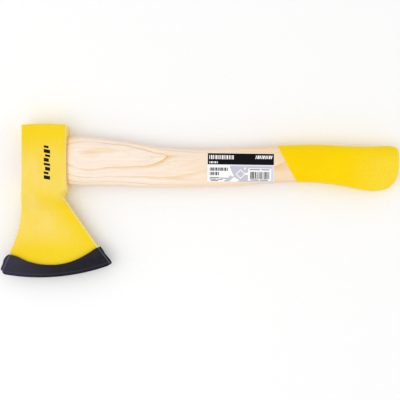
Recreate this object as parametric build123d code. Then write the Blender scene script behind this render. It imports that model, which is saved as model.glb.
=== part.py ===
"""Hatchet with a 600 g steel head, an ash handle and a slip-on edge guard.

It lies on its side. +X runs along the handle from the eye to the butt, +Y from the
cutting edge to the poll, and +Z is up, across the thickness. X = 0 is the middle of
the eye's length, Y = 0 the middle of its height, and Z = 0 the lower cheek's face.
"""

from build123d import *
from math import cos, pi, radians, sin, tan
import os

# ---- driving dimensions, mm ----
HEAD_HALF = 13.5  # half the thickness over the cheeks, and the mid-plane's height
EYE_LENGTH = 42.4  # along the handle, from the head's top face to its underside
POLL_Y, POLL_CROWN = 34.7, 0.8  # top of the poll, and its fall towards both sides
EYE_HEIGHT_BELOW, EYE_HEIGHT_ABOVE = 45.2, 47.0
EYE_WIDTH_BELOW, EYE_WIDTH_ABOVE = 18.6, 20.6
EYE_CHAMFER = 0.8  # round the eye's mouth on the underside
CORNER_ROUND = 1.0  # along the cheeks' outlines

EDGE_CENTRE = (-5.8, 86.9)  # the cutting edge is an arc about this point
EDGE_RADIUS = 197.6
EDGE_HALF = 0.25
BEVEL_HALF_ANGLE = 13.0
CHEEK_END_Y, WEB_START_Y, BLADE_Y = -28.0, -51.5, -100.0
WEB_HALF, BLADE_HALF = 3.6, 1.9  # half thickness at WEB_START_Y and at BLADE_Y
TOE, HEEL_X = (-40.8, -104.6), 61.8

GUARD_FIT, GUARD_WALL = 0.35, 1.5  # gap between guard and blade, and wall thickness
GUARD_RIM = 1.8  # from the cutting edge to the outside of the guard's spine

HANDLE_PROUD = 0.5  # the tongue stands this far out of the head's top face
SECTION_POWER = 2.5  # exponent of the handle's superellipse section
COAT = 0.3  # thickness of the dipped grip coating
COAT_EDGE = [(223.6, 14.8, 0.0), (242.9, -20.9, 0.0), (233.7, -6.9, 11.0)]  # on its edge

KERF_DEPTH, KERF_MOUTH, KERF_ROOT = 30.0, 4.0, 0.8
RING_RADIUS, RING_WALL, RING_DEPTH = 6.5, 1.6, 22.0

LABEL_SIZE, LABEL_THICK = (63.5, 27.4), 0.15
LABEL_CENTRE, LABEL_TILT = (187.6, -6.9), -0.8

# X, upper outline Y, lower outline Y and half thickness along the bare handle
HANDLE_STATIONS = [
    (EYE_LENGTH / 2, EYE_HEIGHT_BELOW / 2, -EYE_HEIGHT_BELOW / 2, EYE_WIDTH_BELOW / 2),
    (25.4, 23.1, -23.3, 10.1),
    (58.4, 21.0, -24.2, 10.0),
    (84.4, 17.6, -25.2, 9.8),
    (106.4, 13.9, -25.6, 9.8),
    (134.4, 11.8, -25.6, 10.0),
    (162.4, 11.6, -25.1, 10.3),
    (190.4, 12.5, -23.8, 10.8),
    (219.4, 14.2, -21.4, 11.2),
    (243.4, 15.1, -20.5, 11.4),
    (268.4, 15.1, -21.6, 11.7),
    (290.4, 14.0, -25.0, 12.5),
    (308.4, 13.5, -28.5, 12.9),
    (322.4, 13.9, -28.6, 13.0),
    (330.4, 14.1, -25.9, 12.6),
    (335.9, 13.2, -20.6, 11.2),
    (339.0, 10.8, -14.0, 8.3),
    (340.2, 6.6, -8.0, 4.4),
]

CENTRE_LINE = (EYE_LENGTH / 2, 0, HEAD_HALF)
MID_PLANE = Plane.XY.offset(HEAD_HALF)
TONGUE_END_X = -EYE_LENGTH / 2 - HANDLE_PROUD
FAR = 200.0  # longer than any cut needs to be


# ---- shapes that several pieces share ----
def on_edge_arc(x, inset=0.0):
    """The point at x on the cutting edge's arc, moved towards its centre by inset."""
    radius = EDGE_RADIUS - inset
    return (x, EDGE_CENTRE[1] - (radius**2 - (x - EDGE_CENTRE[0]) ** 2) ** 0.5)


def lens(profile):
    """Solid of revolution about the edge arc's axis, the same above and below.

    profile lists (inset from the cutting edge, half thickness), from the rim inwards.
    """
    upper = [(EDGE_RADIUS - inset, half) for inset, half in profile]
    upper.append((0, profile[-1][1]))
    lower = [(radius, -half) for radius, half in reversed(upper)]
    across = Plane((*EDGE_CENTRE, HEAD_HALF), x_dir=(0, -1, 0), z_dir=(1, 0, 0))
    section = across * make_face(Polyline(upper + lower, close=True))
    return revolve(section, Axis((*EDGE_CENTRE, HEAD_HALF), (0, 0, 1)), 360)


def oval(x, top, bottom, half):
    """Superellipse face across the handle at x."""
    middle, rise = (top + bottom) / 2, (top - bottom) / 2

    def rounded(wave):
        return abs(wave) ** (2 / SECTION_POWER) * (1 if wave > 0 else -1)

    steps = 16
    turns = [2 * pi * n / steps for n in range(steps)]
    points = [
        Vector(x, middle + rise * rounded(cos(t)), HEAD_HALF + half * rounded(sin(t)))
        for t in turns
    ]
    return Face(Wire(Edge.make_spline(points, periodic=True)))


def eye_oval(x):
    """The eye's section at x, which widens evenly towards the head's top face."""
    share = 0.5 - x / EYE_LENGTH
    height = EYE_HEIGHT_BELOW + share * (EYE_HEIGHT_ABOVE - EYE_HEIGHT_BELOW)
    width = EYE_WIDTH_BELOW + share * (EYE_WIDTH_ABOVE - EYE_WIDTH_BELOW)
    return oval(x, height / 2, -height / 2, width / 2)


def eye_space():
    return loft([eye_oval(TONGUE_END_X), eye_oval(EYE_LENGTH / 2)])


def eye_mouth():
    """The chamfer round the eye where the handle enters."""
    sections = []
    for step in (-EYE_CHAMFER, EYE_CHAMFER):
        rise = EYE_HEIGHT_BELOW / 2 + EYE_CHAMFER + step
        half = EYE_WIDTH_BELOW / 2 + EYE_CHAMFER + step
        sections.append(oval(EYE_LENGTH / 2 + step, rise, -rise, half))
    return loft(sections)


def handle_outside(grow=0.0):
    """The handle from the head's underside to the butt, grown all round."""
    sections = [
        oval(x, top + grow, bottom - grow, half + grow)
        for x, top, bottom, half in HANDLE_STATIONS[:-1]
    ]
    x, top, bottom, half = HANDLE_STATIONS[-1]
    sections.append(oval(x + grow, top + grow, bottom - grow, half + grow))
    return loft(sections)


# ---- axe_head ----
def head_outline():
    half, shoulder = EYE_LENGTH / 2, POLL_Y - POLL_CROWN
    notch_top, notch_end = (18.5, -33.2), (19.1, -36.7)
    heel, edge_start = on_edge_arc(HEEL_X), on_edge_arc(-38.4)
    lines = [
        ThreePointArc((-half, shoulder), (0, POLL_Y), (half, shoulder)),
        Polyline((half, shoulder), (half, CHEEK_END_Y), notch_top),
        ThreePointArc(notch_top, (18.1, -34.9), notch_end),
        ThreePointArc(notch_end, (37.7, -64.4), heel),
        ThreePointArc(heel, on_edge_arc(5.0), edge_start),
        ThreePointArc(edge_start, (-40.1, -106.6), TOE),
        Spline(
            [TOE, (-33.8, -87.3), (-27.0, -69.9), (-22.9, -46.9), (-half, -20.0)],
            tangents=[(0.38, 1), (0, 1)],
        ),
        Line((-half, -20.0), (-half, shoulder)),
    ]
    return make_face(lines)


def head_thickness():
    """The head seen along the handle: parallel cheeks that sweep in to a thin blade."""
    slope = (WEB_HALF - BLADE_HALF) / (WEB_START_Y - BLADE_Y)
    above, below = POLL_Y + 2, -115.0
    tip_half = BLADE_HALF - slope * (BLADE_Y - below)
    lines = [
        Line((above, HEAD_HALF), (above, -HEAD_HALF)),
        Line((below, tip_half), (below, -tip_half)),
    ]
    for side in (1, -1):
        cheek_end, web_start = (CHEEK_END_Y, side * HEAD_HALF), (WEB_START_Y, side * WEB_HALF)
        lines.append(Line((above, side * HEAD_HALF), cheek_end))
        lines.append(Spline([cheek_end, web_start], tangents=[(-1, 0), (-1, -side * slope)]))
        lines.append(Line(web_start, (below, side * tip_half)))
    along = Plane((0, 0, HEAD_HALF), x_dir=(0, 1, 0), z_dir=(1, 0, 0))
    return extrude(along * make_face(lines), amount=FAR, both=True)


def make_axe_head():
    reach = 150.0
    rise = reach * tan(radians(BEVEL_HALF_ANGLE))
    body = extrude(MID_PLANE * head_outline(), amount=HEAD_HALF, both=True)
    body = body & head_thickness()
    body = fillet(cheek_edges(body), CORNER_ROUND)
    body = body & lens([(0, EDGE_HALF), (reach, EDGE_HALF + rise)])
    return body - eye_space() - eye_mouth()


def cheek_edges(body):
    """The edges round both faces' outlines, without the cutting edge."""
    picked = []
    for edge in body.edges():
        box = edge.bounding_box()
        along_x_only = box.size.Y < 1e-3
        upright = box.size.X < 1e-3 and box.size.Z > 1e-3
        if not along_x_only and not upright and box.min.Y > TOE[1] - 1:
            picked.append(edge)
    return picked


# ---- handle and what is driven into it ----
def kerf():
    """Tapered slot along the tongue's height, from its end towards the handle."""
    outline = [
        (TONGUE_END_X, KERF_MOUTH / 2),
        (TONGUE_END_X + KERF_DEPTH, KERF_ROOT / 2),
        (TONGUE_END_X + KERF_DEPTH, -KERF_ROOT / 2),
        (TONGUE_END_X, -KERF_MOUTH / 2),
    ]
    across = Plane((0, 0, HEAD_HALF), x_dir=(1, 0, 0), z_dir=(0, -1, 0))
    return extrude(across * make_face(Polyline(outline, close=True)), amount=FAR, both=True)


def make_ring_wedge():
    """Thin steel ring that tapers to a sharp end inside the tongue."""
    tip = RING_RADIUS - RING_WALL * 0.4
    outline = [
        (TONGUE_END_X, RING_RADIUS),
        (TONGUE_END_X + RING_DEPTH, tip),
        (TONGUE_END_X + RING_DEPTH, tip - RING_WALL * 0.3),
        (TONGUE_END_X, RING_RADIUS - RING_WALL),
    ]
    across = Plane((0, 0, HEAD_HALF), x_dir=(1, 0, 0), z_dir=(0, -1, 0))
    section = across * make_face(Polyline(outline, close=True))
    return revolve(section, Axis(CENTRE_LINE, (1, 0, 0)), 360)


def make_handle(bare, ring):
    return bare + eye_space() - kerf() - ring


def make_wood_wedge(ring):
    return (kerf() & eye_space()) - ring


def make_grip_coating(bare):
    shell = handle_outside(COAT) - bare
    points = [Vector(x, y, HEAD_HALF + z) for x, y, z in COAT_EDGE]
    along = (points[1] - points[0]).normalized()
    square = along.cross(points[2] - points[0]).normalized()
    edge_plane = Plane(points[0], x_dir=along, z_dir=square)
    return split(shell, edge_plane, keep=Keep.TOP if square.X > 0 else Keep.BOTTOM)


def make_paper_label(bare):
    outline = Pos(*LABEL_CENTRE) * Rot(0, 0, LABEL_TILT) * RectangleRounded(*LABEL_SIZE, 1.0)
    above = extrude(MID_PLANE * outline, amount=HEAD_HALF)
    return (handle_outside(LABEL_THICK) & above) - bare


# ---- edge_guard ----
def guard_outline():
    start_x, end_x = -38.3, 60.5
    start, end = on_edge_arc(start_x, -GUARD_RIM), on_edge_arc(end_x, -GUARD_RIM)
    heel_corner, heel_top = (62.5, -96.1), (53.8, -84.4)
    lip_start, lip_end = (50.2, -83.4), (-35.5, -90.1)
    nose_end = (-43.0, -105.5)
    lines = [
        ThreePointArc(start, on_edge_arc(EDGE_CENTRE[0], -GUARD_RIM), end),
        Spline([end, (63.6, -98.6), heel_corner]),
        Spline([heel_corner, (57.1, -89.8), heel_top]),
        Spline([heel_top, (52.4, -83.0), lip_start]),
        Spline([lip_start, (36.2, -91.4), (21.0, -98.0), (5.6, -100.2), (-13.6, -97.2), lip_end]),
        Spline([lip_end, (-37.1, -91.1), (-40.6, -96.9), nose_end]),
        Polyline(nose_end, (-41.7, -106.3), (-41.2, -108.8), start),
    ]
    return make_face(lines)


def make_edge_guard():
    """A channel round the blade, closed only beyond the toe and the heel.

    It widens towards its mouth, so the flared blade slides straight out of it.
    """
    bevel_end, mouth = 10.5, 30.0
    inner = [(-GUARD_FIT, EDGE_HALF + GUARD_FIT), (bevel_end, 3.0), (mouth, 4.8)]
    outer = [(inset, half + GUARD_WALL) for inset, half in inner[1:]]
    spine = [(-GUARD_RIM, 1.2), (-0.8, 1.7), (-0.2, 2.5)]
    toe_end, heel_end = TOE[0] - GUARD_FIT, HEEL_X + GUARD_FIT
    body = extrude(MID_PLANE * guard_outline(), amount=HEAD_HALF, both=True) & lens(spine + outer)
    between = Pos((toe_end + heel_end) / 2, 0, HEAD_HALF) * Box(heel_end - toe_end, 2 * FAR, FAR)
    return body - (lens(inner) & between)


# ---- the whole hatchet ----
def make_pieces():
    ring, bare = make_ring_wedge(), handle_outside()
    return {
        "axe_head": make_axe_head(),
        "handle": make_handle(bare, ring),
        "wood_wedge": make_wood_wedge(ring),
        "ring_wedge": ring,
        "grip_coating": make_grip_coating(bare),
        "paper_label": make_paper_label(bare),
        "edge_guard": make_edge_guard(),
    }


os.makedirs("parts", exist_ok=True)
for name, piece in make_pieces().items():
    export_step(piece, f"parts/{name}.step")
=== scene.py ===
import random
from functools import reduce
from math import atan2, cos, pi, radians, sin, sqrt, tan

import bmesh
import bpy
import numpy as np
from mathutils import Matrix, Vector


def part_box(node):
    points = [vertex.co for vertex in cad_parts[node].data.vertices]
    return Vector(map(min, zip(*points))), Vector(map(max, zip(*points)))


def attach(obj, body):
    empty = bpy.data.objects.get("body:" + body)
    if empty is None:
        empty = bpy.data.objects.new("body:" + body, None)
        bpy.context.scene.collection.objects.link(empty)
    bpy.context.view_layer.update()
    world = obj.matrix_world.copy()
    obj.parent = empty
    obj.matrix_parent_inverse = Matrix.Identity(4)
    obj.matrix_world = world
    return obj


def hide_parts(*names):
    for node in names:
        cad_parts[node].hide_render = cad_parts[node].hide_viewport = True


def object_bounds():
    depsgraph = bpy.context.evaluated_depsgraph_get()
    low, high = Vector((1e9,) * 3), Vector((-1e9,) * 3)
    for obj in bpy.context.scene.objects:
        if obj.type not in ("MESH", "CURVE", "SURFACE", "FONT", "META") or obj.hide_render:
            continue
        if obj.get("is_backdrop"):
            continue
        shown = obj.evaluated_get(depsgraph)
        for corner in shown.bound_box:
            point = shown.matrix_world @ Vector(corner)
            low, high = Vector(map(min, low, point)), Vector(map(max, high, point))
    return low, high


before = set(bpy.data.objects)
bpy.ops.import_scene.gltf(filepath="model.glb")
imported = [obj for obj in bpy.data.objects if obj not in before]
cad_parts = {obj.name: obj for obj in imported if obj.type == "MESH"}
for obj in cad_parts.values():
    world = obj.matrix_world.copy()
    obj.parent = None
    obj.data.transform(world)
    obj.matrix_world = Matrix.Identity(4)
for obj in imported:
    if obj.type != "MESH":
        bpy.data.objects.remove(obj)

cad_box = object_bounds()
MM = 0.001

# ---- sizes of the hatchet, the same as the CAD part's ----
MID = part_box("axe_head")[1][2] / MM / 2  # height of the middle plane
EYE_HALF = 21.2
EYE_BELOW, EYE_ABOVE = (45.2, 18.6), (47.0, 20.6)  # eye's height and width at its two ends
EYE_CHAMFER = 0.8
TONGUE_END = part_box("handle")[0][0] / MM
KERF_DEPTH, KERF_MOUTH, KERF_ROOT = 30.0, 4.0, 0.8  # the wood wedge's slot
# the ring wedge's outer and inner radii at its head and at its tip, and its depth
RING_OUT, RING_IN, RING_TIP_OUT, RING_TIP_IN, RING_DEPTH = 6.5, 4.9, 5.86, 5.38, 22.0
POLL_Y, POLL_CROWN, SIDE_END = 34.7, 0.8, -20.0  # the top face is straight down to SIDE_END
ARC_X, ARC_Y, ARC_R = -5.8, 86.9, 197.6  # the cutting edge's arc
EDGE_THIN, BEVEL_SLOPE = 0.25, tan(radians(13))  # the edge's half thickness, and its bevel
CHEEK_END, WEB_START, BLADE_Y = -28.0, -51.5, -100.0
WEB_THICK, BLADE_THICK = 3.6, 1.9  # half thicknesses at WEB_START and at BLADE_Y
TOE_X, HEEL_X = -40.8, 61.8
SECTION_POWER = 2.5  # of the handle's and the eye's oval sections
COAT = 0.3
COAT_EDGE = [(223.6, 14.8, 0.0), (242.9, -20.9, 0.0), (233.7, -6.9, 11.0)]  # z from the middle
LABEL_X, LABEL_Y, LABEL_TILT = 187.6, -6.9, radians(-0.8)
LABEL_W, LABEL_H, LABEL_THICK = 63.5, 27.4, 0.15
GUARD_RIM, GUARD_WALL, GUARD_FIT = 1.8, 1.5, 0.35  # past the edge, wall, gap to the blade
LIP_TOE_X, LIP_HEEL_X = -35.5, 52.6  # ends of the guard's lip

# directions square to the blade's slanted edge and to the guard's ends, pointing outwards
BLADE_OUT, GUARD_HEEL_OUT, GUARD_TOE_OUT = (0.82, 0.573), (0.81, 0.586), (-0.897, 0.4425)

STATIONS = np.array([  # x, upper outline, lower outline, half thickness
    (21.2, 22.6, -22.6, 9.3), (25.4, 23.1, -23.3, 10.1), (58.4, 21.0, -24.2, 10.0),
    (84.4, 17.6, -25.2, 9.8), (106.4, 13.9, -25.6, 9.8), (134.4, 11.8, -25.6, 10.0),
    (162.4, 11.6, -25.1, 10.3), (190.4, 12.5, -23.8, 10.8), (219.4, 14.2, -21.4, 11.2),
    (243.4, 15.1, -20.5, 11.4), (268.4, 15.1, -21.6, 11.7), (290.4, 14.0, -25.0, 12.5),
    (308.4, 13.5, -28.5, 12.9), (322.4, 13.9, -28.6, 13.0), (330.4, 14.1, -25.9, 12.6),
    (335.9, 13.2, -20.6, 11.2), (339.0, 10.8, -14.0, 8.3), (340.2, 6.6, -8.0, 4.4),
])
COAT_STATION = 8  # the last station in front of the coat
OVAL_COUNT = 96  # points round each oval section


# ---- mesh helpers ----
def new_piece(name, points, faces, material, body="hatchet", replaces=()):
    """A smooth closed mesh from points in millimetres that rides on a CAD body."""
    piece = loose_mesh(name, points, faces)
    piece.data.materials.append(material)
    piece.data.polygons.foreach_set("use_smooth", [True] * len(piece.data.polygons))
    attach(piece, body)
    if replaces:
        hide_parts(*replaces)
    return piece


def loose_mesh(name, points, faces):
    """A mesh from points in millimetres, with its faces turned outwards."""
    data = bpy.data.meshes.new(name)
    data.from_pydata([tuple(p) for p in np.asarray(points, float) * MM], [], faces)
    mesh = bmesh.new()
    mesh.from_mesh(data)
    bmesh.ops.recalc_face_normals(mesh, faces=mesh.faces)
    mesh.to_mesh(data)
    mesh.free()
    obj = bpy.data.objects.new(name, data)
    bpy.context.scene.collection.objects.link(obj)
    return obj


def tube_faces(rings, count, ends=True, base=0):
    """Quads between consecutive closed rings of count points, and a cap on each end."""
    faces = []
    for r in range(rings - 1):
        for n in range(count):
            a, b = base + r * count, base + (r + 1) * count
            m = (n + 1) % count
            faces.append((a + n, a + m, b + m, b + n))
    if ends:
        last = base + (rings - 1) * count
        faces.append(tuple(range(base, base + count)))
        faces.append(tuple(range(last, last + count)))
    return faces


def slab_faces(rows, columns, base=0):
    """Faces of a thin closed sheet: its upper grid, then its lower grid, then the rim."""
    size = rows * columns
    faces = []
    for r in range(rows - 1):
        for c in range(columns - 1):
            quad = [r * columns + c, r * columns + c + 1]
            quad += [quad[1] + columns, quad[0] + columns]
            faces.append(tuple(base + k for k in quad))
            faces.append(tuple(base + size + k for k in reversed(quad)))
    rim = list(range(columns)) + [r * columns + columns - 1 for r in range(1, rows)]
    rim += [(rows - 1) * columns + c for c in range(columns - 2, -1, -1)]
    rim += [r * columns for r in range(rows - 2, 0, -1)]
    for a, b in zip(rim, rim[1:] + rim[:1]):
        faces.append((base + a, base + size + a, base + size + b, base + b))
    return faces


def natural_spline(knots, values):
    """Smooth curve through values at rising knots, as a function of the knot."""
    knots, values = np.asarray(knots, float), np.asarray(values, float)
    values = values.reshape(len(knots), -1)
    n, step = len(knots), np.diff(knots)
    matrix, right = np.eye(n), np.zeros_like(values)
    for i in range(1, n - 1):
        matrix[i, i - 1 : i + 2] = step[i - 1], 2 * (step[i - 1] + step[i]), step[i]
        rise = (values[i + 1] - values[i]) / step[i] - (values[i] - values[i - 1]) / step[i - 1]
        right[i] = 6 * rise
    bend = np.linalg.solve(matrix, right)

    def at(where):
        where = np.atleast_1d(where)
        i = np.clip(np.searchsorted(knots, where) - 1, 0, n - 2)
        h = step[i][:, None]
        a = ((knots[i + 1] - where) / step[i])[:, None]
        b = 1 - a
        curve = ((a**3 - a) * bend[i] + (b**3 - b) * bend[i + 1]) * h**2 / 6
        return a * values[i] + b * values[i + 1] + curve

    return at


def smooth_step(low, high, value):
    """Smooth change from 0 to 1 while the value goes from low to high."""
    share = min(1.0, max(0.0, (value - low) / (high - low)))
    return share * share * (3 - 2 * share)


def cut(piece, cutters):
    """Removes the cutters' volumes from a piece, and then the cutters."""
    for cutter in cutters:
        modifier = piece.modifiers.new("cut", "BOOLEAN")
        modifier.operation, modifier.object, modifier.solver = "DIFFERENCE", cutter, "EXACT"
        with bpy.context.temp_override(object=piece, active_object=piece):
            bpy.ops.object.modifier_apply(modifier=modifier.name)
        bpy.data.objects.remove(cutter)


def sharpen(piece, degrees):
    """Smooth shading, broken where two faces meet at more than this angle."""
    with bpy.context.temp_override(
        object=piece, active_object=piece, selected_objects=[piece],
        selected_editable_objects=[piece],
    ):
        bpy.ops.object.shade_smooth_by_angle(angle=radians(degrees))


# ---- node helpers for the materials ----
class Nodes:
    """Short names for building one procedural material."""

    def __init__(self, name):
        self.material = bpy.data.materials.new(name)
        self.material.use_nodes = True
        self.tree = self.material.node_tree
        self.shader = self.tree.nodes["Principled BSDF"]
        self.place = self.tree.nodes.new("ShaderNodeTexCoord").outputs["Object"]

    def link(self, source, socket):
        if isinstance(source, bpy.types.NodeSocket):
            self.tree.links.new(source, socket)
        else:
            socket.default_value = source

    def math(self, operation, a, b=0.0):
        node = self.tree.nodes.new("ShaderNodeMath")
        node.operation = operation
        for socket, value in zip(node.inputs, (a, b)):
            self.link(value, socket)
        return node.outputs[0]

    def times(self, *values):
        return reduce(lambda a, b: self.math("MULTIPLY", a, b), values)

    def plus(self, *values):
        return reduce(lambda a, b: self.math("ADD", a, b), values)

    def minus(self, a, b):
        return self.math("SUBTRACT", a, b)

    def split(self):
        """The place's three coordinates."""
        node = self.tree.nodes.new("ShaderNodeSeparateXYZ")
        self.link(self.place, node.inputs[0])
        return node.outputs

    def scaled(self, size, turn=(0, 0, 0), shift=(0, 0, 0)):
        node = self.tree.nodes.new("ShaderNodeMapping")
        self.link(self.place, node.inputs["Vector"])
        node.inputs["Scale"].default_value = size
        node.inputs["Rotation"].default_value = turn
        node.inputs["Location"].default_value = shift
        return node.outputs[0]

    def noise(self, vector, scale, detail, rough):
        node = self.tree.nodes.new("ShaderNodeTexNoise")
        self.link(vector, node.inputs["Vector"])
        node.inputs["Scale"].default_value = scale
        node.inputs["Detail"].default_value = detail
        node.inputs["Roughness"].default_value = rough
        return node.outputs["Fac"]

    def step(self, value, low, high, to_low=0.0, to_high=1.0):
        """Smooth change from to_low to to_high while the value goes from low to high."""
        node = self.tree.nodes.new("ShaderNodeMapRange")
        node.interpolation_type = "SMOOTHSTEP"
        self.link(value, node.inputs["Value"])
        for socket, number in zip(node.inputs[1:5], (low, high, to_low, to_high)):
            socket.default_value = number
        return node.outputs[0]

    def step_mm(self, value, low, high, to_low=0.0, to_high=1.0):
        """The same for a length, with low and high in millimetres."""
        return self.step(value, low * MM, high * MM, to_low, to_high)

    def mix(self, share, a, b):
        """Colour a where share is 0 and colour b where it is 1."""
        node = self.tree.nodes.new("ShaderNodeMix")
        node.data_type = "RGBA"
        self.link(share, node.inputs["Factor"])
        for value, socket in ((a, node.inputs[6]), (b, node.inputs[7])):
            if isinstance(value, tuple):
                value = (*value, 1.0)
            self.link(value, socket)
        return node.outputs[2]

    def edge_inset(self):
        """Distance inwards from the arc of the cutting edge."""
        x, y = self.split()[:2]
        dx, dy = self.minus(x, ARC_X * MM), self.minus(y, ARC_Y * MM)
        square = self.plus(self.times(dx, dx), self.times(dy, dy))
        return self.minus(ARC_R * MM, self.math("SQRT", square))

    def outward(self, direction):
        """Distance from the origin along a direction in the hatchet's middle plane."""
        x, y = self.split()[:2]
        return self.plus(self.times(x, direction[0]), self.times(y, direction[1]))

    def finish(self, color, rough, bumps=(), **fixed):
        """Colour, roughness, (height, distance in mm, strength) bumps and fixed sockets."""
        self.link((*color, 1.0) if isinstance(color, tuple) else color,
                  self.shader.inputs["Base Color"])
        self.link(rough, self.shader.inputs["Roughness"])
        normal = None
        for height, distance, strength in bumps:
            node = self.tree.nodes.new("ShaderNodeBump")
            node.inputs["Distance"].default_value = distance * MM
            node.inputs["Strength"].default_value = strength
            self.link(height, node.inputs["Height"])
            if normal:
                self.link(normal, node.inputs["Normal"])
            normal = node.outputs[0]
        if normal:
            self.link(normal, self.shader.inputs["Normal"])
        for socket, value in fixed.items():
            self.shader.inputs[socket.replace("_", " ")].default_value = value
        return self.material


def srgb(code):
    """Linear colour of a six-digit sRGB code."""
    channels = [int(code[i : i + 2], 16) / 255 for i in (0, 2, 4)]
    return tuple(c / 12.92 if c <= 0.04045 else ((c + 0.055) / 1.055) ** 2.4 for c in channels)


# ---- materials ----
def yellow_film(name, base, pale, deep, orange_peel):
    """Yellow paint: uneven film, soft orange peel and a few specks in it."""
    n = Nodes(name)
    cloud = n.noise(n.place, 30, 3, 0.5)
    mottle = n.noise(n.place, 420, 2, 0.6)
    peel = n.noise(n.place, 800, 2, 0.5)
    color = n.mix(n.step(cloud, 0.35, 0.7), base, pale)
    color = n.mix(n.step(mottle, 0.5, 0.8, 0.0, 0.4), color, deep)
    specks = n.noise(n.scaled((1, 1, 1), shift=(3, 1, 7)), 700, 1, 0.5)
    color = n.mix(n.step(specks, 0.77, 0.8, 0.0, 0.35), color, srgb("b58a10"))
    bumps = [(peel, 0.05, orange_peel), (cloud, 0.3, 0.2)]
    return n, color, cloud, bumps


def head_material():
    """Paint on the forging, with a painted sheen and painted highlights, giving way to ground steel
    along the cutting edge.
    """
    n, color, cloud, bumps = yellow_film(
        "head_paint", srgb("f5d000"), srgb("f5d51a"), srgb("f0c300"), 0.22
    )
    x, y = n.split()[:2]
    across = n.outward(BLADE_OUT)
    # painted sheen: a pale, blotchy reflection on the middle of the blade and the cheek next to it
    inner = n.math("MAXIMUM", n.step_mm(across, -9, -32), n.step_mm(y, -45, -25))
    blotch = n.noise(n.scaled((70, 40, 60), shift=(2, 8, 4)), 1.0, 5, 0.65)
    painted_sheen = n.times(n.step_mm(y, 26, -8), n.step_mm(y, -90, -62), inner,
                    n.step(blotch, 0.3, 0.7, 0.55, 1.1))
    color = n.mix(n.times(painted_sheen, 0.62), color, srgb("f6dc7c"))
    # painted highlights: paler paint along the blade's slanted edge and on the face round the
    # handle, standing in for the lamps mirrored there
    slant = n.times(n.step_mm(across, -8.0, -6.4), n.step_mm(y, -33, -38))
    face = n.times(n.step_mm(x, 19.9, 20.8), n.step_mm(y, -34, -28))
    patches = n.noise(n.place, 320, 3, 0.6)
    edge_highlight = n.times(n.math("MAXIMUM", slant, n.times(face, 0.8)),
                     n.step(patches, 0.3, 0.6, 0.35, 0.75))
    color = n.mix(edge_highlight, color, srgb("f8e49c"))
    # ground steel, with a ragged border to the paint
    ragged = n.times(n.noise(n.place, 260, 4, 0.7), 1.6 * MM)
    ground = n.step_mm(n.minus(n.edge_inset(), ragged), 6.4, 6.0)
    scratch = n.noise(n.scaled((1.0, 0.06, 1.0)), 5200, 2, 0.6)
    steel = n.mix(n.step(scratch, 0.3, 0.7), srgb("8d9095"), srgb("b9bcc0"))
    color = n.mix(ground, color, steel)
    rough = n.step(cloud, 0.3, 0.7, 0.36, 0.48)
    rough = n.plus(rough, n.times(ground, -0.08))
    n.link(ground, n.shader.inputs["Metallic"])
    bumps.append((n.times(scratch, ground), 0.03, 0.3))
    return n.finish(color, rough, bumps, Specular_IOR_Level=0.17)


def grip_material():
    """Glossy dipped paint that shows a little of the wood's grain, with a mottled painted highlight
    at the butt.
    """
    n, color, cloud, bumps = yellow_film(
        "grip_coat", srgb("fbd300"), srgb("fcd800"), srgb("f6c500"), 0.3
    )
    x, y = n.split()[:2]
    grain = n.noise(n.scaled((60, 700, 700)), 1.0, 2, 0.6)
    color = n.mix(n.step(grain, 0.5, 0.75, 0.0, 0.3), color, srgb("fcde10"))
    # painted highlight: mottled paler paint on the curved butt, standing in for a lamp's reflection
    scuff_and_sheen = n.noise(n.scaled((420, 620, 620), turn=(0, 0, 0.5)), 1.0, 4, 0.7)
    butt = n.times(n.step_mm(x, 284, 326), n.step_mm(y, 16, -6),
                   n.step(scuff_and_sheen, 0.3, 0.8, 0.15, 0.8))
    color = n.mix(butt, color, srgb("fbe356"))
    bumps.append((grain, 0.05, 0.25))
    rough = n.step(cloud, 0.3, 0.7, 0.22, 0.34)
    return n.finish(color, rough, bumps, Specular_IOR_Level=0.07)


def growth_layers(n):
    """Height through the tree's growth layers, which the handle's surface cuts at a slant.

    On each side of a ridge line the layers fall away. Along the handle they tilt, and where
    the tilt is steep, in front of the label, their lines close in a point on the ridge.
    """
    x, y, z = n.split()
    fall, first_layer, ridge_y = 0.4, 0.9 * MM, 9.0 * MM
    blunt, pointed = 100.0 * MM**2, 0.4 * MM**2
    ridge = n.step_mm(x, 70, 112, ridge_y, ridge_y / 2)
    off = n.minus(y, ridge)
    spread = n.math("SQRT", n.plus(n.times(off, off), n.step_mm(x, 114, 84, pointed, blunt)))
    layer = n.plus(n.times(spread, fall), first_layer)
    # each tilt begins and ends at an x and rises by so much, over a part of the height
    shallow = n.step_mm(y, -22, -14), ((25, 50, -0.9), (70, 112, 2.6), (112, 165, 2.6))
    steep = n.step_mm(y, -20, 3), ((92, 122, 3.7), (190, 245, 3.0))
    for share, tilts in (shallow, steep):
        for start, end, rise in tilts:
            layer = n.plus(layer, n.times(n.step_mm(x, start, end, 0.0, rise * MM), share))
    return n.minus(layer, n.minus(z, MID * MM))


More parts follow.
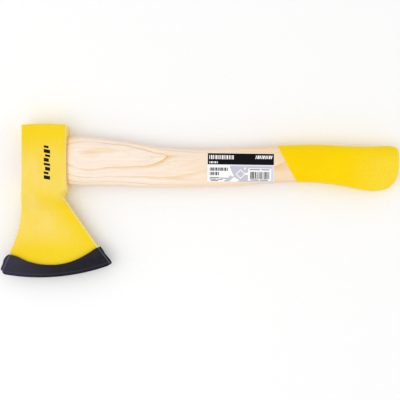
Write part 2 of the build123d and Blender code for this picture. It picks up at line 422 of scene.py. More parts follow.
def ash_material():
    """Pale ash: cathedral growth rings, open-pored early wood and long fine fibres."""
    n = Nodes("ash_wood")
    x, y, z = n.split()
    ring_width, first_ring, wobble = 4.3 * MM, -2.45 * MM, 0.16
    wander = n.noise(n.scaled((16, 60, 60)), 1.0, 3, 0.6)
    whole_rings = 20.0  # keeps the count positive all over the handle
    rings = n.plus(n.math("DIVIDE", n.minus(growth_layers(n), first_ring), ring_width),
                   n.times(n.minus(wander, 0.5), wobble), whole_rings)

    def early_wood(phase, before, after):
        """A band that rises before each ring's line and fades after it."""
        return n.plus(n.step(phase, 1 - before, 1.0), n.step(phase, after, 0.0))

    phase = n.math("FRACT", rings)
    patchy = n.noise(n.scaled((14, 110, 110), shift=(2, 5, 1)), 1.0, 2, 0.5)
    strong = n.times(early_wood(phase, 0.04, 0.26), n.step(patchy, 0.3, 0.6, 0.4, 1.0))
    core = n.times(early_wood(phase, 0.03, 0.05), n.step(patchy, 0.36, 0.62, 0.1, 1.0))
    faint = early_wood(n.math("FRACT", n.times(rings, 3.7)), 0.18, 0.3)
    faint = n.times(faint, n.step(patchy, 0.42, 0.72, 0.05, 0.34))
    early = n.math("MAXIMUM", strong, faint)
    fibres = n.noise(n.scaled((35, 1500, 1500)), 1.0, 3, 0.6)
    streaks = n.noise(n.scaled((16, 420, 420), shift=(1, 2, 3)), 1.0, 3, 0.55)
    pores = n.noise(n.scaled((130, 3800, 3800), shift=(4, 1, 9)), 1.0, 1, 0.5)
    pores = n.times(n.step(pores, 0.6, 0.72), n.plus(0.2, early))
    color = n.mix(n.step(streaks, 0.3, 0.75), srgb("fdf0e3"), srgb("f9e7d4"))
    color = n.mix(n.times(early, 0.85), color, srgb("eec481"))
    color = n.mix(n.times(core, 0.5), color, srgb("c9a06a"))
    color = n.mix(n.step(fibres, 0.45, 0.8, 0.0, 0.5), color, srgb("ebc9a2"))
    color = n.mix(n.times(pores, 0.6), color, srgb("b98850"))
    blush = n.noise(n.scaled((12, 50, 50), shift=(7, 3, 2)), 1.0, 2, 0.5)
    color = n.mix(n.step(blush, 0.45, 0.75, 0.0, 0.3), color, srgb("f8dccb"))
    # golden lens where the surface just reaches the next layer
    lens_x, lens_y, lens_long, lens_high = 56 * MM, 9.2 * MM, 17 * MM, 3.2 * MM
    along = n.math("DIVIDE", n.minus(x, lens_x), lens_long)
    over = n.math("DIVIDE", n.minus(y, lens_y), lens_high)
    lens = n.plus(n.times(along, along), n.times(over, over))
    lens = n.times(n.step(lens, 1.0, 0.2), n.step_mm(z, MID, MID + 4),
                   n.step(fibres, 0.3, 0.7, 0.3, 0.65))
    color = n.mix(lens, color, srgb("f3d5a2"))
    # golden wood by the grip, painted shade on the lower sides, a dark joint at the head that is
    # partly painted shade, and dark end grain
    color = n.mix(n.step_mm(x, 70, 245, 0.0, 0.55), color, srgb("f4cf98"))
    # painted shade: the sides below the middle are tinted darker and pinker
    side = n.step_mm(z, MID + 8, MID - 2)
    color = n.mix(n.times(side, 0.22), color, srgb("dcb194"))
    # partly painted shade: the wood darkens towards the head for the shade in the joint, as well as
    # for a stain there
    joint = n.step_mm(x, EYE_HALF + 3.2, EYE_HALF + 0.4)
    color = n.mix(n.times(joint, 0.45), color, srgb("dfa36c"))
    end_grain = n.step_mm(x, TONGUE_END + 2, TONGUE_END)
    color = n.mix(n.times(end_grain, 0.55), color, srgb("c99a62"))
    rough = n.step(streaks, 0.2, 0.8, 0.42, 0.56)
    grain = n.plus(n.times(fibres, 0.7), n.times(pores, -1.2))
    bumps = [(grain, 0.06, 0.35), (early, -0.04, 0.3)]
    return n.finish(color, rough, bumps, Specular_IOR_Level=0.3)


def wedge_wood_material():
    """Darker beech of the wedge, seen on its end."""
    n = Nodes("beech_wood")
    flecks = n.noise(n.scaled((3000, 500, 2600)), 1.0, 2, 0.6)
    bands = n.noise(n.scaled((60, 260, 60)), 1.0, 2, 0.5)
    color = n.mix(n.step(bands, 0.35, 0.7), srgb("b9824f"), srgb("a26e3f"))
    color = n.mix(n.step(flecks, 0.55, 0.75, 0.0, 0.6), color, srgb("7d5230"))
    return n.finish(color, n.step(bands, 0.2, 0.8, 0.55, 0.7), [(flecks, 0.08, 0.5)])


def steel_material():
    """Bright steel of the ring wedge, scuffed round by the hammer."""
    n = Nodes("wedge_steel")
    scuff_and_sheen = n.noise(n.scaled((900, 900, 900)), 1.0, 4, 0.65)
    stain = n.noise(n.place, 160, 3, 0.6)
    color = n.mix(n.step(scuff_and_sheen, 0.3, 0.75), srgb("84878b"), srgb("b4b6b9"))
    color = n.mix(n.step(stain, 0.6, 0.75, 0.0, 0.5), color, srgb("6d5a48"))
    return n.finish(color, n.step(scuff_and_sheen, 0.3, 0.7, 0.28, 0.5), [(scuff_and_sheen, 0.05, 0.5)], Metallic=1.0)


def guard_material():
    """Moulded black plastic with a fine spark-eroded grain and faint flow marks."""
    n = Nodes("guard_plastic")
    grain = n.noise(n.place, 2600, 2, 0.6)
    mottle = n.noise(n.place, 330, 3, 0.6)
    cloud = n.noise(n.place, 45, 3, 0.55)
    # painted reflection: the guard turns paler towards its left end, standing in for a lamp mirrored
    # in the plastic
    left_sheen = n.times(n.step_mm(n.split()[0], 15, -42), 0.75)
    color = n.mix(n.step(cloud, 0.3, 0.7), srgb("06050e"), srgb("0d0b1a"))
    color = n.mix(left_sheen, color, srgb("312d42"))
    color = n.mix(n.step(mottle, 0.45, 0.75, 0.0, 0.5), color, srgb("24213a"))

    def strip(value, rise, fall):
        """A soft strip that comes in between one pair of lengths and goes between another."""
        return n.times(n.step_mm(value, *rise), n.step_mm(value, *fall))

    # painted highlights: pale lines along the crease over the spine and along the bead beside each
    # end
    crease = strip(n.edge_inset(), (0.9, 1.3), (1.8, 1.4))
    color = n.mix(n.times(crease, 0.35), color, srgb("56535f"))
    for direction, low in ((GUARD_HEEL_OUT, -8.3), (GUARD_TOE_OUT, -10.4)):
        bead = strip(n.outward(direction), (low, low + 0.6), (low + 1.4, low + 0.8))
        color = n.mix(n.times(bead, 0.4), color, srgb("7c7b86"))
    rough = n.step(mottle, 0.3, 0.7, 0.34, 0.5)
    bumps = [(grain, 0.04, 0.4), (mottle, 0.06, 0.25)]
    return n.finish(color, rough, bumps, Specular_IOR_Level=0.2)


def paper_material(name, code, rough=0.4):
    """Coated label paper or its ink: faint fibre mottle under a smooth film."""
    n = Nodes(name)
    fibre = n.noise(n.place, 1700, 4, 0.7)
    cloud = n.noise(n.place, 90, 2, 0.5)
    base, tint = srgb(code), 0.06
    darker = tuple(c * (1 - tint) for c in base)
    color = n.mix(n.step(fibre, 0.35, 0.7), base, darker)
    rough = n.step(cloud, 0.3, 0.7, rough - 0.04, rough + 0.06)
    return n.finish(color, rough, [(fibre, 0.01, 0.3)], Specular_IOR_Level=0.08)


def mark_material():
    """Black ink screen-printed on the paint, slightly thin in places."""
    n = Nodes("mark_ink")
    thin = n.noise(n.place, 900, 3, 0.6)
    color = n.mix(n.step(thin, 0.5, 0.8, 0.0, 0.5), srgb("0f0d0a"), srgb("2c2614"))
    rough = n.step(thin, 0.3, 0.7, 0.4, 0.55)
    return n.finish(color, rough, [(thin, 0.01, 0.4)], Specular_IOR_Level=0.1)


# ---- axe_head ----
left_side = natural_spline(
    [-104.6, -87.3, -69.9, -46.9, SIDE_END, 0.0], [TOE_X, -33.8, -27.0, -22.9, -EYE_HALF, -EYE_HALF]
)
NOTCH_Y, NOTCH_ROUND = -35.0, 0.6
heel_y = ARC_Y - sqrt(ARC_R**2 - (HEEL_X - ARC_X) ** 2)


def left_x(y):
    """The head's outline on its top face: straight, then swept out to the toe."""
    return -EYE_HALF if y > SIDE_END else float(left_side(y)[0, 0])


def right_x(y):
    """The head's outline towards the handle: a flat, a slanted lip, a notch, then the blade."""
    if y > CHEEK_END:
        return EYE_HALF
    lip_slope, notch_x, hollow = 0.52, 17.5, 0.45
    lip = EYE_HALF + (y - CHEEK_END) * lip_slope
    share = (NOTCH_Y - y) / (NOTCH_Y - heel_y)
    blade = notch_x + share * (HEEL_X - notch_x)
    if 0 < share < 1:
        blade -= 4 * share * (1 - share) * hollow
    return (lip + blade + sqrt((lip - blade) ** 2 + 4 * NOTCH_ROUND**2)) / 2


def half_thickness(x, y):
    """Half the head's thickness: parallel cheeks, a sweep, a thin blade and its bevel."""
    slope = (WEB_THICK - BLADE_THICK) / (WEB_START - BLADE_Y)
    if y > CHEEK_END:
        flank = MID
    elif y < WEB_START:
        flank = WEB_THICK + (y - WEB_START) * slope
    else:
        span = CHEEK_END - WEB_START
        t = (CHEEK_END - y) / span
        flank = (2 * t**3 - 3 * t**2 + 1) * MID + (3 * t**2 - 2 * t**3) * WEB_THICK
        flank -= (t**3 - t**2) * span * slope
    inset = ARC_R - sqrt((x - ARC_X) ** 2 + (y - ARC_Y) ** 2)
    return min(flank, EDGE_THIN + max(inset, 0) * BEVEL_SLOPE)


def head_ring(low_y, bend, shrink=0.0):
    """One closed ring round the head, along its upper face and back along its lower one.

    low_y is the row's lowest point and bend blends it from straight to the edge's arc.
    shrink draws the ring in where the poll is rounded off.
    """
    columns, steps, halvings = 72, 9, 30
    edge_round, lip_round, fullest, poll_fade = 1.2, 6.5, 0.8, 4.0

    def row_y(x):
        return low_y + bend * (ARC_R - sqrt(ARC_R**2 - (x - ARC_X) ** 2))

    left, right = -EYE_HALF, EYE_HALF
    for _ in range(halvings):
        left = (left + left_x(row_y(left))) / 2
        right = (right + right_x(row_y(right))) / 2

    def corner(x, extra):
        """Rounding of the outline's edge, which is fuller round the lip and its notch."""
        y = row_y(x)
        full = edge_round + extra * smooth_step(-24, -33, y) * smooth_step(-52, -38, y)
        return min(full, fullest * half_thickness(x, y))

    round_left, round_right = corner(left, 0.0), corner(right, lip_round)
    crown = max(0.0, 1 - (POLL_Y - POLL_CROWN - low_y) / poll_fade)
    upper = []

    def add(x, drop):
        z = half_thickness(x, row_y(x)) - shrink - drop
        x = min(max(x, left + shrink), right - shrink)
        y = row_y(x) + crown * POLL_CROWN * (1 - (x / EYE_HALF) ** 2)
        upper.append((x, y, z))

    turns = np.linspace(0, pi / 2, steps)
    for t in turns:
        add(left + round_left * (1 - cos(t)), round_left * (1 - sin(t)))
    for share in np.linspace(0, 1, columns)[1:-1]:
        add(left + round_left + share * (right - round_right - left - round_left), 0.0)
    for t in turns[::-1]:
        add(right - round_right * (1 - cos(t)), round_right * (1 - sin(t)))
    return [(x, y, MID + z) for x, y, z in upper] + [(x, y, MID - z) for x, y, z in upper[::-1]]


def make_head(material):
    """The forging: straight rows from the poll down, bent step by step to the edge's arc."""
    poll_rows, cheek_rows, sweep_rows, blade_rows, bevel_rows = 7, 24, 30, 45, 34
    shoulder, poll_round = POLL_Y - POLL_CROWN, 1.2
    rings = []
    for t in np.linspace(0, pi / 2, poll_rows):
        rings.append(head_ring(shoulder - poll_round * (1 - cos(t)), 0, poll_round * (1 - sin(t))))
    for y in np.linspace(shoulder - 3, CHEEK_END + 1, cheek_rows):
        rings.append(head_ring(y, 0))
    straight_end, arc_low, bevel = -40.0, ARC_Y - ARC_R, 12.0
    for y in np.linspace(CHEEK_END, straight_end, sweep_rows):
        rings.append(head_ring(y, 0))
    for share in np.linspace(0, 1, blade_rows)[1:]:
        y = straight_end + share * (arc_low + bevel - straight_end)
        rings.append(head_ring(y, smooth_step(0, 1, share)))
    for inset in np.linspace(bevel, 0, bevel_rows)[1:]:
        rings.append(head_ring(arc_low + inset, 1))
    count, last = len(rings[0]), len(rings) - 1
    faces = tube_faces(len(rings), count, ends=False)
    for base in (0, last * count):
        for n in range(count // 2 - 1):
            faces.append((base + n, base + n + 1, base + count - 2 - n, base + count - 1 - n))
    head = new_piece("head_forging", np.concatenate(rings), faces, material,
                     replaces=["axe_head"])
    past, mouth_past = 2, 0.1
    cut(head, [
        eye_cutter("eye", ((-EYE_HALF - past, 0.0), (EYE_HALF + past, 0.0))),
        eye_cutter("mouth", ((EYE_HALF - EYE_CHAMFER, 0.0),
                             (EYE_HALF + mouth_past, EYE_CHAMFER + mouth_past))),
    ])
    sharpen(head, 40)


def make_cheek_mark(material):
    """A plain printed row of slanted bars on the upper cheek, with no letters."""
    low_x, high_x, low_y = 0.2, 6.2, -18.6
    wide, narrow, gap, lean = 3.4, 2.2, 1.35, 1.1
    film_low, film_high = 0.001, 0.03
    points, faces = [], []
    y, span = low_y, high_x - low_x
    for width, start, end in ((wide, 0, 1), (narrow, 0.25, 1), (wide, 0, 0.8), (narrow, 0, 1),
                              (wide, 0.2, 1), (narrow, 0, 0.8), (wide, 0, 1), (narrow, 0.25, 1)):
        a, b = high_x - start * span, high_x - end * span
        corners = [(a, y + start * lean), (b, y + end * lean),
                   (b, y + end * lean + width), (a, y + start * lean + width)]
        base = len(points)
        for z in (2 * MID + film_high, 2 * MID + film_low):
            points += [(px, py, z) for px, py in corners]
        faces += tube_faces(2, 4, base=base)
        y += width + gap
    mark = new_piece("cheek_mark", points, faces, material)
    sharpen(mark, 30)


# ---- handle and its coat ----
def oval_ring(x, top, bottom, half):
    """Superellipse across the handle at x."""
    ring = []
    for t in np.linspace(0, 2 * pi, OVAL_COUNT, endpoint=False):
        c, s = cos(t), sin(t)
        wide = abs(c) ** (2 / SECTION_POWER) * (1 if c > 0 else -1)
        tall = abs(s) ** (2 / SECTION_POWER) * (1 if s > 0 else -1)
        ring.append((x, (top + bottom) / 2 + wide * (top - bottom) / 2, MID + tall * half))
    return ring


def eye_size(x):
    """Half the eye's height and half its width at x."""
    share = 0.5 - x / (2 * EYE_HALF)
    return [(b + share * (a - b)) / 2 for b, a in zip(EYE_BELOW, EYE_ABOVE)]


def eye_cutter(name, ends):
    """The eye's inside between (x, how much larger than the eye) at two ends."""
    points = []
    for x, grow in ends:
        rise, half = eye_size(x)
        points += oval_ring(x, rise + grow, -rise - grow, half + grow)
    return loose_mesh(name, points, tube_faces(len(ends), OVAL_COUNT))


run_steps = np.linalg.norm(np.diff(STATIONS, axis=0), axis=1)
station_run = np.concatenate([[0], np.cumsum(run_steps)])
station_at = natural_spline(station_run, STATIONS)
dense_handle = station_at(np.linspace(0, station_run[-1], 1500))


def handle_top_z(x, y, lift):
    """Height of the handle's upper side over (x, y), lifted off it."""
    top, bottom, half = [np.interp(x, dense_handle[:, 0], dense_handle[:, k]) for k in (1, 2, 3)]
    share = abs(y - (top + bottom) / 2) / ((top - bottom) / 2 + lift)
    return MID + (half + lift) * max(0.0, 1 - min(share, 1) ** SECTION_POWER) ** (1 / SECTION_POWER)


def make_handle(material):
    """Tongue and handle in one piece, with the wood wedge's slot and the ring's groove."""
    end_round, tongue_rows, rows, groove_sides = 0.4, 9, 150, 64
    rise, half = eye_size(TONGUE_END)
    rings = [oval_ring(TONGUE_END, rise - end_round, end_round - rise, half - end_round)]
    for x in np.linspace(TONGUE_END + end_round, EYE_HALF, tongue_rows)[:-1]:
        rise, half = eye_size(x)
        rings.append(oval_ring(x, rise, -rise, half))
    for run in np.linspace(0, station_run[-1], rows):
        rings.append(oval_ring(*station_at(run)[0]))
    handle = new_piece("handle_ash", np.concatenate(rings), tube_faces(len(rings), OVAL_COUNT),
                       material, replaces=["handle"])
    past, reach = 1, 30  # how far the slot starts before the tongue, and its half height
    before, depth = TONGUE_END - past, TONGUE_END + KERF_DEPTH
    mouth = KERF_MOUTH / 2 + (KERF_MOUTH - KERF_ROOT) / 2 / KERF_DEPTH
    slot = [(x, y, MID + z) for y in (-reach, reach)
            for x, z in ((before, mouth), (depth, KERF_ROOT / 2), (depth, -KERF_ROOT / 2),
                         (before, -mouth))]
    turns = np.linspace(0, 2 * pi, groove_sides, endpoint=False)
    groove = [(TONGUE_END + x, radius * cos(t), MID + radius * sin(t))
              for x, radius in ((-past, RING_OUT), (RING_DEPTH, RING_TIP_OUT),
                                (RING_DEPTH, RING_TIP_IN), (-past, RING_IN)) for t in turns]
    groove_faces = tube_faces(4, groove_sides, ends=False)
    last = 3 * groove_sides
    for n in range(groove_sides):
        m = (n + 1) % groove_sides
        groove_faces.append((last + n, last + m, m, n))
    cut(handle, [loose_mesh("kerf", slot, tube_faces(2, 4)),
                 loose_mesh("ring", groove, groove_faces)])
    sharpen(handle, 35)


def coat_edge_x(points):
    """X of the coat's slanted front edge, a plane, over each of the points."""
    a, b, c = np.array(COAT_EDGE)
    normal = np.cross(b - a, c - a)
    return a[0] - (normal[1] * (points[:, 1] - a[1]) + normal[2] * (points[:, 2] - MID)) / normal[0]


def make_coating(material):
    """Dipped coat over the last third of the handle, with a thin rounded front edge."""
    rows, samples = 90, 400
    runs = np.linspace(station_run[COAT_STATION], station_run[-1], samples)
    dense = np.array([oval_ring(*station_at(run)[0]) for run in runs])
    outward = dense - dense.mean(axis=1, keepdims=True)
    outward[:, :, 0] = 0
    outward /= np.linalg.norm(outward, axis=2, keepdims=True)
    bead_width, bead_height, first_ahead = 1.6, 0.12, 0.15
    front = ((0.02, 0.0), (0.16, -0.1), (0.32, -0.02))  # lift and x of the front edge's rings
    rings = np.zeros((len(front) + rows, OVAL_COUNT, 3))
    for n in range(OVAL_COUNT):
        line = dense[:, n]
        past = line[:, 0] - coat_edge_x(line)
        first = int(np.argmax(past > 0))
        begin = first - past[first] / (past[first] - past[first - 1])
        at = begin + np.linspace(0, 1, rows) * (samples - 1 - begin)
        low = np.clip(at.astype(int), 0, samples - 2)
        part = (at - low)[:, None]
        base = line[low] * (1 - part) + line[low + 1] * part
        out = outward[low, n] * (1 - part) + outward[low + 1, n] * part
        bead = np.exp(-(((base[:, 0] - base[0, 0]) / bead_width) ** 2)) * bead_height
        rings[len(front):, n] = base + out * (COAT + bead)[:, None]
        for r, (lift, ahead) in enumerate(front):
            rings[r, n] = base[0] + out[0] * lift + (ahead, 0, 0)
        rings[len(front), n, 0] += first_ahead
    x, top, bottom, half = STATIONS[-1]
    middle, rise = (top + bottom) / 2, (top - bottom) / 2 + COAT
    butt = ((0.9, 0.12), (0.7, 0.2), (0.4, 0.26), (0.1, 0.28))  # size and bulge of the end's rings
    end = [oval_ring(x + bulge, middle + rise * size, middle - rise * size, (half + COAT) * size)
           for size, bulge in butt]
    points = np.concatenate([*rings, *end])
    new_piece("grip_coat", points, tube_faces(len(points) // OVAL_COUNT, OVAL_COUNT), material,
              replaces=["grip_coating"])


# ---- paper label and its print ----
def label_point(u, v, lift):
    """A point of the label, u along and v up from its middle, laid on the handle."""
    x = LABEL_X + u * cos(LABEL_TILT) - v * sin(LABEL_TILT)
    y = LABEL_Y + u * sin(LABEL_TILT) + v * cos(LABEL_TILT)
    return (x, y, handle_top_z(x, y, lift))


def label_sheet(name, shapes, low, high, material, replaces=()):
    """Thin closed sheets on the label, each a box (u0, v0, u1, v1) or four corners."""
    cell_long, cell_slanted, cell_high, level = 1.6, 0.5, 0.45, 0.5
    points, faces = [], []
    for shape in shapes:
        if not hasattr(shape[0], "__len__"):
            u0, v0, u1, v1 = shape
            shape = ((u0, v0), (u1, v0), (u1, v1), (u0, v1))
        a, b, c, d = np.array(shape, float)
        slanted = abs(a[1] - b[1]) > level
        length = max(np.linalg.norm(b - a), np.linalg.norm(c - d))
        height = max(np.linalg.norm(d - a), np.linalg.norm(c - b))
        columns = 2 + int(length / (cell_slanted if slanted else cell_long))
        rows = 2 + int(height / cell_high)
        base = len(points)
        for lift in (high, low):
            for j in np.linspace(0, 1, rows):
                for i in np.linspace(0, 1, columns):
                    u, v = (a * (1 - i) + b * i) * (1 - j) + (d * (1 - i) + c * i) * j
                    points.append(label_point(u, v, lift))
        faces += slab_faces(rows, columns, base)
    sheet = new_piece(name, points, faces, material, replaces=replaces)
    sharpen(sheet, 50)


def blocks(u, v, wide, tall, count, gap=0.75, lean=0.0):
    """A row of plain blocks of changing widths and gaps, in place of a printed word."""
    row = []
    for k in range(count):
        end = u + wide * (0.7, 1.35, 0.95)[k % 3]
        row.append(((u, v), (end, v), (end + lean, v + tall), (u + lean, v + tall)))
        u = end + gap * (1.25, 0.75)[k % 2]
    return row


def make_label(inks):
    """White paper with a black header, a grey pattern, plain bars for text and a bar block."""
    w, h = LABEL_W / 2, LABEL_H / 2
    header_low, under, film = 2.7, 0.03, 0.02
    label_sheet("label_sheet", [(-w, -h, w, h)], under, LABEL_THICK, inks["white"], ["paper_label"])

    def layer(number):
        """Underside and top of a film of ink, counted up from the paper."""
        return LABEL_THICK + film * number, LABEL_THICK + film * (number + 1)

    label_sheet("label_header", [(-w + 0.2, header_low, w - 0.2, h - 0.2)], *layer(0), inks["black"])
    field = [
        ((-7.7, -5.7), (w - 0.3, -5.7), (w - 0.3, 1.0), (-10.6, 1.0)),
        ((-16.4, -h + 0.2), (w - 0.3, -h + 0.2), (w - 0.3, -5.7), (-7.7, -5.7)),
    ]
    label_sheet("label_field", field, *layer(0), inks["grey"])
    stripe = [(w - 2.4, -h + 0.2, w - 0.3, 1.0), (-10.0, 1.0, w - 0.3, 2.2)]
    label_sheet("label_stripe", stripe, *layer(1), inks["lavender"])
    white = [
        ((-11.2, -h + 0.3), (-3.1, -h + 0.3), (-1.0, -12.0), (-6.0, -8.9)),  # slanted band
        ((-9.4, -7.4), (-7.9, -8.9), (-6.2, -7.4), (-7.9, -5.8)),
        ((-4.9, -6.2), (-0.1, -10.8), (4.7, -6.2), (-0.1, -1.6)),  # diamond's outline
        ((2.7, -0.4), (4.0, -2.4), (5.2, -0.4), (4.0, 0.2)),
        (4.3, -6.9, 7.4, -4.9),
        (7.1, -12.6, 29.2, -0.6),  # box of the bar block
    ]
    label_sheet("label_white_shapes", white, *layer(1), inks["white"])
    label_sheet("label_diamond", [((-3.8, -6.2), (-0.1, -9.7), (3.6, -6.2), (-0.1, -2.7))],
                *layer(2), inks["grey"])

    header_bars = blocks(-30.1, 7.8, 0.95, 3.9, 14) + blocks(-29.9, 3.8, 0.8, 1.9, 6, gap=0.6)
    header_bars += blocks(13.8, 8.5, 1.15, 3.2, 9, gap=0.65, lean=0.9)
    label_sheet("label_header_bars", header_bars, *layer(1), inks["white"])
    dark = blocks(-29.4, -3.3, 0.9, 3.1, 12, gap=0.55) + blocks(-29.4, -7.5, 0.9, 3.0, 6, gap=0.6)
    pick = random.Random(5)
    u, bars_end = 9.3, 27.8
    while u < bars_end:
        width = pick.choice((0.4, 0.6, 0.95))
        dark.append((u, -10.6, u + width, -3.9))
        u += width + pick.choice((0.4, 0.4, 0.7))
    label_sheet("label_dark_bars", dark, *layer(2), inks["black"])
    small = [(-29.4, -10.3, -20.4, -9.4), (-19.4, -10.6, -12.9, -9.9), (-29.4, -11.7, -23.0, -10.9),
             (-22.2, -11.9, -17.2, -11.2), (-28.4, -13.0, -21.5, -12.2),
             (8.6, -2.3, 18.5, -1.4), (19.7, -2.3, 27.4, -1.4),
             (9.4, -12.1, 17.6, -11.2), (18.6, -12.1, 26.4, -11.2)]
    label_sheet("label_small_bars", small, *layer(2), inks["mid_grey"])


# ---- edge_guard ----
def on_arc(x, y):
    """Radius and turn of a point about the cutting edge's arc."""
    return sqrt((x - ARC_X) ** 2 + (y - ARC_Y) ** 2), atan2(x - ARC_X, ARC_Y - y)


def end_turn(outline):
    """The guard's end as a turn about the arc at each inset from the cutting edge."""
    polar = [on_arc(*p) for p in outline]
    inset = np.array([ARC_R - radius for radius, _ in polar])
    turn = np.array([angle for _, angle in polar])
    order = np.argsort(inset)
    curve = natural_spline(inset[order], turn[order])
    return lambda d: float(curve(d)[0, 0])


guard_toe = end_turn([(-38.3, -110.3), (-41.2, -108.6), (-41.8, -106.4), (-43.0, -105.3),
                      (-42.6, -102.8), (-40.6, -96.9), (-37.4, -91.6), (LIP_TOE_X, -90.1)])
guard_heel = end_turn([(60.5, -101.0), (62.8, -99.6), (63.6, -98.2), (62.5, -96.1),
                       (57.1, -89.8), (53.8, -84.6), (LIP_HEEL_X, -83.0)])
guard_lip = natural_spline(
    [LIP_TOE_X, -28.8, -21.2, -13.6, -5.9, 5.6, 21.0, 36.2, 43.8, 50.2, LIP_HEEL_X],
    [-90.1, -91.4, -94.2, -97.2, -99.1, -100.2, -98.0, -91.4, -87.0, -83.5, -82.9],
)


def guard_inside(d):
    """Half the channel's gap at an inset from the cutting edge."""
    insets, half_gaps = [-GUARD_FIT, 10.5, 30.0], [0.6, 3.0, 4.8]
    return np.interp(d, insets, half_gaps)


def small_ridge(at, middle, width, height):
    """Height of a small rounded ridge, at a distance across it."""
    return height * np.exp(-(((at - middle) / width) ** 2))


def guard_section(lip_inset, end_drop, bead):
    """Closed section of the channel, as (inset, height) pairs, thinned near its ends."""
    lip_round, wall_left, tip_left, first = 0.6, 0.25, 0.5, 0.15
    side_points, lip_points, inner_points = 16, 9, 12
    outer = []
    for d in np.linspace(first, lip_inset - lip_round, side_points):
        crease = small_ridge(d, 1.3, 0.5, 0.12)
        outer.append((d, guard_inside(d) + GUARD_WALL - crease + bead))
    middle = guard_inside(lip_inset) + GUARD_WALL / 2
    for t in np.linspace(0, pi, lip_points)[1:-1]:
        outer.append((lip_inset - lip_round * (1 - sin(t)), middle + GUARD_WALL / 2 * cos(t)))
    inner = [(d, guard_inside(d))
             for d in np.linspace(lip_inset - lip_round, -GUARD_FIT, inner_points)]
    spine = [(-GUARD_RIM, 0.0), (-GUARD_RIM, 0.8), (-1.6, 1.15), (-1.1, 1.4), (-0.6, 1.75),
             (-0.2, 1.98)]
    outside = []
    for d, z in spine + outer:
        thinnest = guard_inside(d) + wall_left if d > 0 else tip_left
        outside.append((d, max(z - end_drop, min(z, thinnest))))
    upper = outside + inner
    return upper + [(d, -z) for d, z in upper[:0:-1]]


def make_guard(material):
    """Channel swept along the cutting edge's arc, with rounded lips and ends."""
    end_round, round_rows, length, length_rows, thinning = 1.5, 9, 104.0, 150, 0.8
    shares = list(end_round / length * (1 - np.cos(np.linspace(0, pi / 2, round_rows))))
    along = list(np.linspace(shares[-1], 1 - shares[-1], length_rows))
    shares = shares[:-1] + along + [1 - s for s in shares[-2::-1]]
    points = []
    for s in shares:
        away = min(s, 1 - s) * length
        drop = end_round * (1 - sqrt(max(0.0, 1 - (1 - min(1, away / end_round)) ** 2)))
        lip_x = LIP_TOE_X + s * (LIP_HEEL_X - LIP_TOE_X)
        lip_inset = ARC_R - on_arc(lip_x, float(guard_lip(lip_x)[0, 0]))[0]
        bead = small_ridge(away, 1.7, 0.5, 0.22)
        for d, z in guard_section(lip_inset, drop * thinning, bead):
            turn = guard_toe(d) * (1 - s) + guard_heel(d) * s
            radius = ARC_R - d
            points.append((ARC_X + radius * sin(turn), ARC_Y - radius * cos(turn), MID + z))
    faces = tube_faces(len(shares), len(points) // len(shares))
    # a plug closes the channel beyond the toe and beyond the heel
    rows, into_wall, short, thinnest = 10, 0.1, 0.3, 0.05
    for turn_at, limit, deepest in ((guard_toe, TOE_X - GUARD_FIT, 7.5),
                                    (guard_heel, HEEL_X + GUARD_FIT, 2.0)):
        base = len(points)
        for d in np.linspace(-GUARD_FIT - 0.4, deepest, rows):
            radius, z = ARC_R - d, guard_inside(d) + into_wall
            outer_x = ARC_X + radius * sin(turn_at(d))
            outward = 1 if limit > 0 else -1
            outer_x = outward * max(outward * outer_x - short, outward * limit + thinnest)
            for x, side in ((outer_x, 1), (limit, 1), (limit, -1), (outer_x, -1)):
                y = ARC_Y - sqrt(radius**2 - (x - ARC_X) ** 2)
                points.append((x, y, MID + side * z))
        faces += tube_faces(rows, 4, base=base)
    guard = new_piece("guard_channel", points, faces, material, body="guard",
                      replaces=["edge_guard"])
    sharpen(guard, 45)


# ---- put together ----
inks = {
    "white": paper_material("label_white", "fefdfe"),
    "black": paper_material("label_black", "0e0c11", 0.45),
    "grey": paper_material("label_grey", "cac8d3"),
    "mid_grey": paper_material("label_mid_grey", "85838d"),
    "lavender": paper_material("label_lavender", "dedbee"),
}
make_head(head_material())
make_cheek_mark(mark_material())
make_handle(ash_material())
make_coating(grip_material())
make_label(inks)
make_guard(guard_material())
for node, material in (("wood_wedge", wedge_wood_material()), ("ring_wedge", steel_material())):
    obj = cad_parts[node]
    obj.data.materials.clear()
    obj.data.materials.append(material)

# ---- floor, light and camera, in metres ----
low, high = (Vector(corner) for corner in cad_box)
middle = (low + high) / 2


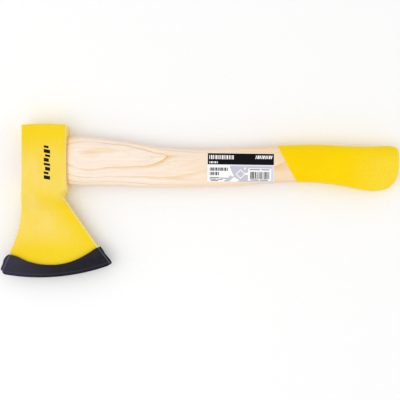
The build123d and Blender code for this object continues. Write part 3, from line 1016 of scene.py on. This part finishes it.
def make_floor():
    """A wide pale floor at the height of the lower cheek."""
    n = Nodes("floor_white")
    speck = n.noise(n.place, 500, 2, 0.5)
    color = n.mix(n.step(speck, 0.3, 0.7), (0.965, 0.965, 0.965), (0.98, 0.98, 0.98))
    half = 3.0
    data = bpy.data.meshes.new("floor")
    corners = [(middle.x + i * half, middle.y + j * half, low.z)
               for i, j in ((-1, -1), (1, -1), (1, 1), (-1, 1))]
    data.from_pydata(corners, [], [(0, 1, 2, 3)])
    data.materials.append(n.finish(color, 0.9, Specular_IOR_Level=0.1))
    floor = bpy.data.objects.new("floor", data)
    bpy.context.scene.collection.objects.link(floor)
    floor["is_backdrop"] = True


def soft_box(name, at, size, power):
    """Square lamp at a place from the hatchet's middle, turned towards it."""
    data = bpy.data.lights.new(name, "AREA")
    data.shape, data.size, data.energy = "SQUARE", size, power
    lamp = bpy.data.objects.new(name, data)
    bpy.context.scene.collection.objects.link(lamp)
    lamp.location = middle + Vector(at)
    lamp.rotation_euler = (-Vector(at)).to_track_quat("-Z", "Y").to_euler()


make_floor()
soft_box("key", (-0.45, -0.25, 1.1), 0.8, 2.8)
soft_box("left", (-1.3, 0.0, 0.55), 0.9, 2.2)
soft_box("right", (1.3, 0.0, 0.55), 0.9, 2.2)
world = bpy.data.worlds.new("studio")
world.use_nodes = True
world.node_tree.nodes["Background"].inputs["Color"].default_value = (1, 1, 1, 1)
world.node_tree.nodes["Background"].inputs["Strength"].default_value = 0.8
bpy.context.scene.world = world
bpy.context.scene.view_settings.view_transform = "Standard"

CAMERA_HEIGHT, CAMERA_Y, VIEW_WIDTH, SENSOR = 0.915, 0.0011, 0.386, 36
lens = bpy.data.cameras.new("camera")
lens.sensor_width = SENSOR
lens.lens = SENSOR * CAMERA_HEIGHT / VIEW_WIDTH
camera = bpy.data.objects.new("camera", lens)
bpy.context.scene.collection.objects.link(camera)
camera.location = middle + Vector((0, CAMERA_Y, CAMERA_HEIGHT))
bpy.context.scene.camera = camera

boxes = {"cad": cad_box, "visual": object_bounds()}
boxes = {name: [[float(c) for c in corner] for corner in box] for name, box in boxes.items()}
